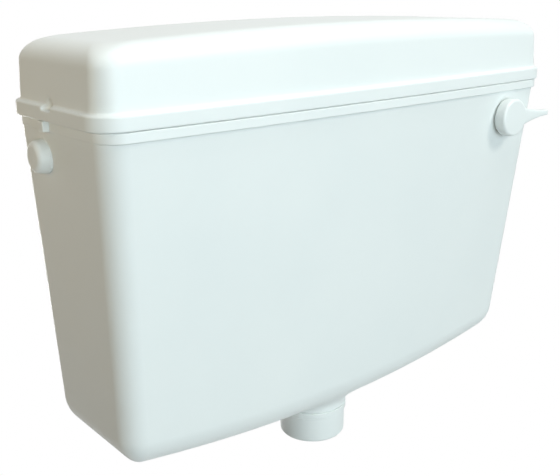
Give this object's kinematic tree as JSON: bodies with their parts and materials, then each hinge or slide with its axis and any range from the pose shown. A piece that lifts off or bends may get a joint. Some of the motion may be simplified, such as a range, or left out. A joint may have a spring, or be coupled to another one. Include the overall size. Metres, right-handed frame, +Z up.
{
  "type": "toilet cistern",
  "caption": "Wall-hung plastic flushing cistern: tapered tank with arched foot, crowned lift-off lid, front flush lever, siphon, ball-float inlet valve and bottom outlet coupling.",
  "frame": {"origin": "midway between the two wall fixing holes, on the wall plane", "axes": "+X right seen from the front, +Y into the wall, +Z up"},
  "size_m": [0.4832, 0.1491, 0.3666],
  "materials": {
    "white_gloss": "gloss moulded, cool white",
    "natural_plastic": "satin moulded, natural white",
    "rubber": "matt black moulded rubber",
    "steel": "bright zinc plate",
    "brass": "drawn and turned, slightly dulled",
    "float_orange": "satin moulded, orange"
  },
  "bodies": {
    "cistern": {"tank": "white_gloss", "handle_bush": "natural_plastic", "bush_lock_nut": "natural_plastic", "siphon_body": "natural_plastic", "siphon_tail": "natural_plastic", "siphon_base_ring": "natural_plastic", "siphon_seal": "rubber", "outlet_back_nut": "white_gloss", "outlet_coupling_nut": "white_gloss", "outlet_cone_seal": "rubber", "inlet_valve_body": "natural_plastic", "inlet_seal": "rubber", "inlet_back_nut": "natural_plastic", "valve_seat": "brass", "valve_cap": "natural_plastic", "silencer_tube": "natural_plastic", "float_pivot_pin": "steel", "blanking_plug": "white_gloss", "plug_seal": "rubber", "plug_nut": "natural_plastic"},
    "lid": {"lid": "white_gloss"},
    "lever": {"flush_handle": "white_gloss", "handle_spindle": "steel", "lever_arm": "steel", "lever_clamp_screw": "steel"},
    "piston": {"lift_link": "steel", "lift_rod": "natural_plastic", "piston_plate": "natural_plastic", "diaphragm": "rubber", "diaphragm_disc": "natural_plastic"},
    "float": {"float_arm": "brass", "float_neck_half": "float_orange", "float_end_half": "float_orange", "float_lock_nut": "brass"},
    "plunger": {"valve_plunger": "brass", "plunger_washer": "rubber"}
  },
  "joints": [
    {"name": "lid_lift", "type": "slide", "parent": "cistern", "child": "lid", "axis": [0, 0, 1], "range_m": [0, 0.15]},
    {"name": "flush_lever", "type": "hinge", "parent": "cistern", "child": "lever", "pos_m": [0.1735, -0.12821, 0.0008], "axis": [0, 1, 0], "range_deg": [0, 25]},
    {"name": "piston_lift", "type": "slide", "parent": "cistern", "child": "piston", "axis": [0, 0, 1], "range_m": [0, 0.05214]},
    {"name": "float_swing", "type": "hinge", "parent": "cistern", "child": "float", "pos_m": [0.18883, -0.045, -0.0118], "axis": [0, 1, 0], "range_deg": [0, 18]},
    {"name": "plunger_slide", "type": "slide", "parent": "cistern", "child": "plunger", "axis": [1, 0, 0], "range_m": [0, 0.00345]}
  ],
  "couplings": [
    {"joint": "piston_lift", "follows": "flush_lever", "m_per_rad": 0.1194},
    {"joint": "plunger_slide", "follows": "float_swing", "m_per_rad": 0.010955}
  ]
}
